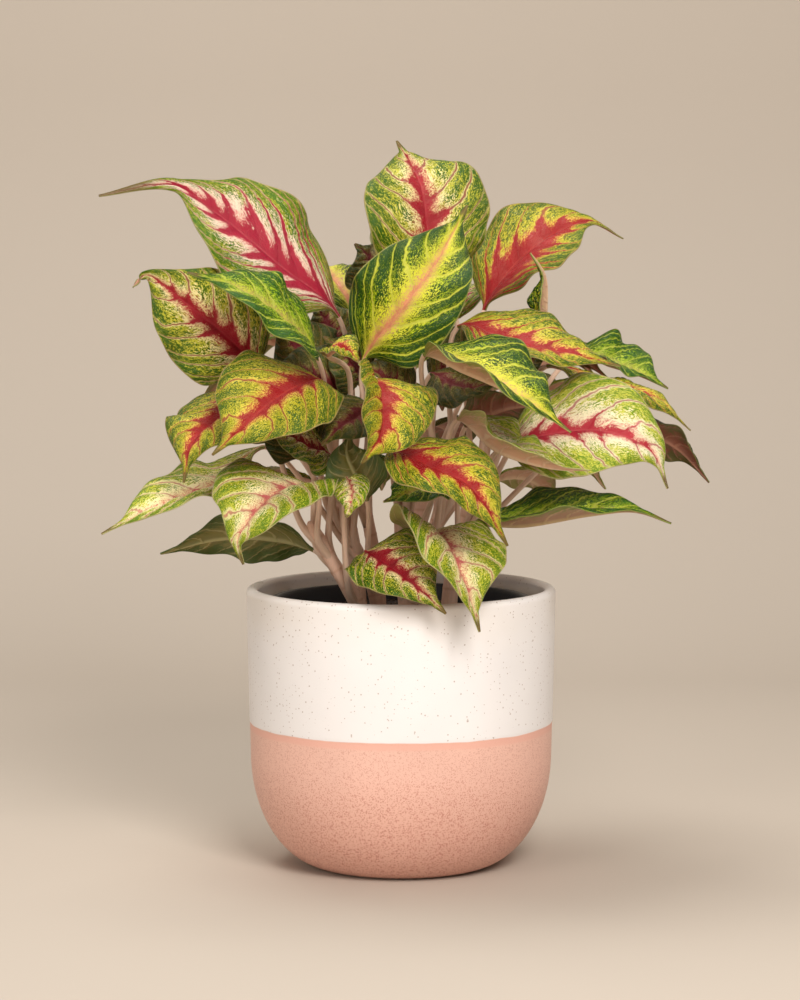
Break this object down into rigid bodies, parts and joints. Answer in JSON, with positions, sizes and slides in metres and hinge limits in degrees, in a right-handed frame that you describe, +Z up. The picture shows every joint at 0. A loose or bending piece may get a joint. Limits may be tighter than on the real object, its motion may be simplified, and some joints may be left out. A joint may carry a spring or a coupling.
{
  "type": "potted plant",
  "caption": "Bushy Chinese evergreen with broad pointed leaves in red, pink and green, in a round two-tone glazed pot.",
  "frame": {"origin": "middle of the flat underside of the ceramic pot", "axes": "+Z up along the pot's axis, -Y towards the front of the plant, +X to its right seen from the front"},
  "size_m": [0.4367, 0.3512, 0.5274],
  "materials": {
    "ceramic": "satin",
    "plastic": "matte",
    "soil": "matte",
    "cane": "satin",
    "rose": "satin",
    "crimson": "satin",
    "lime": "satin",
    "cream": "satin",
    "shade": "matte"
  },
  "bodies": {
    "root": {"cane_back": "cane", "cane_back_left": "cane", "cane_front_left": "cane", "cane_inner": "cane", "cane_left": "cane", "cane_middle": "cane", "cane_right": "cane", "cane_right_back": "cane", "ceramic_pot": "ceramic", "leaf_back_1": "rose", "leaf_back_10": "cream", "leaf_back_11": "shade", "leaf_back_12": "lime", "leaf_back_2": "crimson", "leaf_back_3": "lime", "leaf_back_4": "cream", "leaf_back_5": "rose", "leaf_back_6": "lime", "leaf_back_7": "rose", "leaf_back_8": "crimson", "leaf_back_9": "rose", "leaf_bottom_middle": "rose", "leaf_bottom_right": "cream", "leaf_front_folded": "rose", "leaf_front_lime": "lime", "leaf_front_low_small": "lime", "leaf_front_red": "crimson", "leaf_front_shaded": "shade", "leaf_front_small": "rose", "leaf_front_tip": "rose", "leaf_front_under": "shade", "leaf_left_behind": "rose", "leaf_left_dark": "crimson", "leaf_left_inner": "crimson", "leaf_left_lime": "lime", "leaf_left_pink": "rose", "leaf_left_shaded": "shade", "leaf_left_under": "shade", "leaf_low_left": "cream", "leaf_low_left_front": "cream", "leaf_low_left_under": "shade", "leaf_low_right": "lime", "leaf_right_brown": "shade", "leaf_right_cream": "cream", "leaf_right_folded": "cream", "leaf_right_green": "lime", "leaf_right_lime": "lime", "leaf_right_long": "rose", "leaf_right_pink": "rose", "leaf_right_shaded": "shade", "leaf_right_under": "shade", "leaf_side_left": "rose", "leaf_spear": "lime", "leaf_top_left": "rose", "leaf_top_middle": "crimson", "leaf_top_right": "crimson", "leaf_top_shaded": "shade", "nursery_pot": "plastic", "soil": "soil"}
  },
  "joints": []
}
